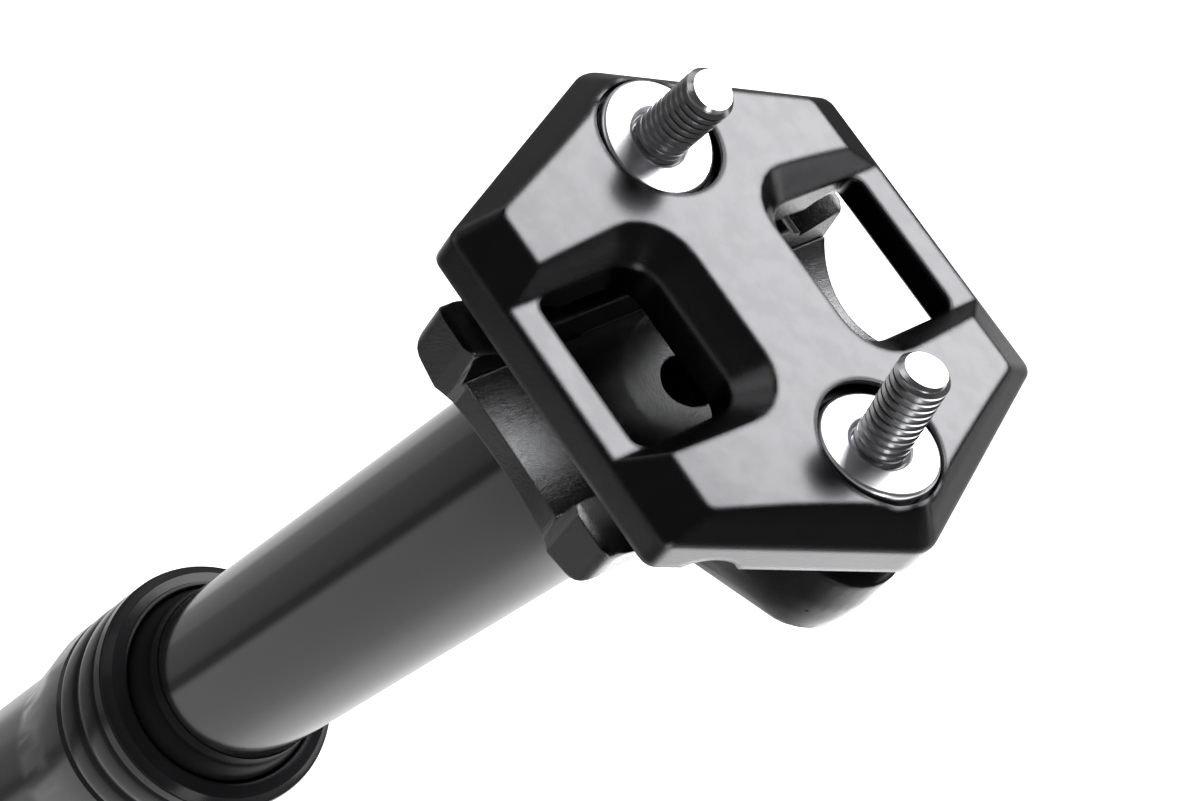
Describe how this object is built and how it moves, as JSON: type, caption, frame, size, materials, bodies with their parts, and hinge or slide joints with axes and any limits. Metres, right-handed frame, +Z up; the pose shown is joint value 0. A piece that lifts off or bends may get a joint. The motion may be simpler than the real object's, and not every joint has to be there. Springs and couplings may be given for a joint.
{
  "type": "dropper seatpost",
  "caption": "Telescopic bicycle seatpost: a black tube with a ribbed collar, a sliding stanchion, and a tilting saddle clamp with two upright bolts.",
  "frame": {"origin": "on the post's axis, where the straight outer tube ends and the cone below the collar starts", "axes": "+Z up along the post, +X forward, +Y to the left; the clamp is at mid tilt, leaning 11 degrees forward"},
  "size_m": [0.0645, 0.0578, 0.4095],
  "materials": {
    "tube_black": "satin black anodised aluminium",
    "stanchion_black": "gloss black hard anodised aluminium",
    "forged_black": "satin black anodised forging, finely textured in its hollows",
    "plate_black": "polished black anodised forging",
    "rubber": "matt",
    "bushing": "bearing polymer",
    "brass": "satin",
    "steel": "bright plated steel",
    "dark_steel": "blued spring steel",
    "bright_alloy": "turned, clear anodised"
  },
  "bodies": {
    "outer": {"outer_tube": "tube_black", "collar": "tube_black", "wiper_seal": "rubber", "upper_bushing": "bushing", "seal_washer": "bushing", "base_cap": "tube_black", "cable_stop": "bright_alloy", "lever_pin": "steel", "lever_clips": "dark_steel", "rod": "steel", "rod_nut": "bright_alloy", "piston": "bright_alloy", "piston_ring": "rubber", "piston_nut": "bright_alloy", "topout_bumper": "rubber", "bottomout_bumper": "rubber", "return_spring": "steel"},
    "post": {"stanchion": "stanchion_black", "head": "forged_black", "lower_bushing": "bushing", "guide_keys": "brass", "cartridge_tube": "bright_alloy", "cartridge_cap": "bright_alloy", "gas_valve": "brass", "gland": "bright_alloy", "gland_ring": "rubber", "rod_seal": "rubber", "stanchion_circlip": "dark_steel"},
    "gas_piston": {"floating_piston": "bright_alloy", "floating_ring": "rubber"},
    "clamp": {"lower_cradle": "forged_black", "top_plate": "plate_black"},
    "front_screw": {"front_bolt": "steel", "front_washer": "steel"},
    "rear_screw": {"rear_bolt": "steel", "rear_washer": "steel"},
    "front_disc": {"front_nut": "steel"},
    "rear_disc": {"rear_nut": "steel"},
    "valve": {"valve_pin": "steel"},
    "lever": {"release_lever": "bright_alloy"}
  },
  "joints": [
    {"name": "post_slide", "type": "slide", "parent": "outer", "child": "post", "axis": [0, 0, 1], "range_m": [-0.1, 0]},
    {"name": "gas_piston_slide", "type": "slide", "parent": "post", "child": "gas_piston", "axis": [0, 0, 1], "range_m": [0, 0.025]},
    {"name": "clamp_tilt", "type": "hinge", "parent": "post", "child": "clamp", "pos_m": [0.00238, 0, 0.17227], "axis": [0, 1, 0], "range_deg": [-6.5, 6.5]},
    {"name": "front_bolt_swing", "type": "hinge", "parent": "post", "child": "front_screw", "pos_m": [0.02183, 0, 0.14812], "axis": [0, 1, 0], "range_deg": [-0.45, 0.45]},
    {"name": "rear_bolt_swing", "type": "hinge", "parent": "post", "child": "rear_screw", "pos_m": [-0.02469, 0, 0.15716], "axis": [0, 1, 0], "range_deg": [-0.45, 0.45]},
    {"name": "front_nut_slide", "type": "slide", "parent": "front_screw", "child": "front_disc", "axis": [0.0332, 0, 0.9995], "range_m": [-0.0024, 0.0024]},
    {"name": "rear_nut_slide", "type": "slide", "parent": "rear_screw", "child": "rear_disc", "axis": [0.3437, 0, 0.9391], "range_m": [-0.0024, 0.0024]},
    {"name": "lever_pull", "type": "hinge", "parent": "outer", "child": "lever", "pos_m": [0.004, 0, -0.1953], "axis": [0, 1, 0], "range_deg": [0, 20]},
    {"name": "valve_slide", "type": "slide", "parent": "outer", "child": "valve", "axis": [0, 0, 1], "range_m": [0, 0.0014], "stiffness_N_per_m": 400, "springref_m": -0.001, "deforming": ["return_spring"]}
  ],
  "couplings": [
    {"joint": "gas_piston_slide", "follows": "post_slide", "ratio": -0.25},
    {"joint": "front_bolt_swing", "follows": "clamp_tilt", "ratio": -0.0642},
    {"joint": "rear_bolt_swing", "follows": "clamp_tilt", "ratio": -0.0642},
    {"joint": "front_nut_slide", "follows": "clamp_tilt", "m_per_rad": -0.02023},
    {"joint": "rear_nut_slide", "follows": "clamp_tilt", "m_per_rad": 0.02023},
    {"joint": "lever_pull", "follows": "valve_slide", "rad_per_m": 249}
  ]
}
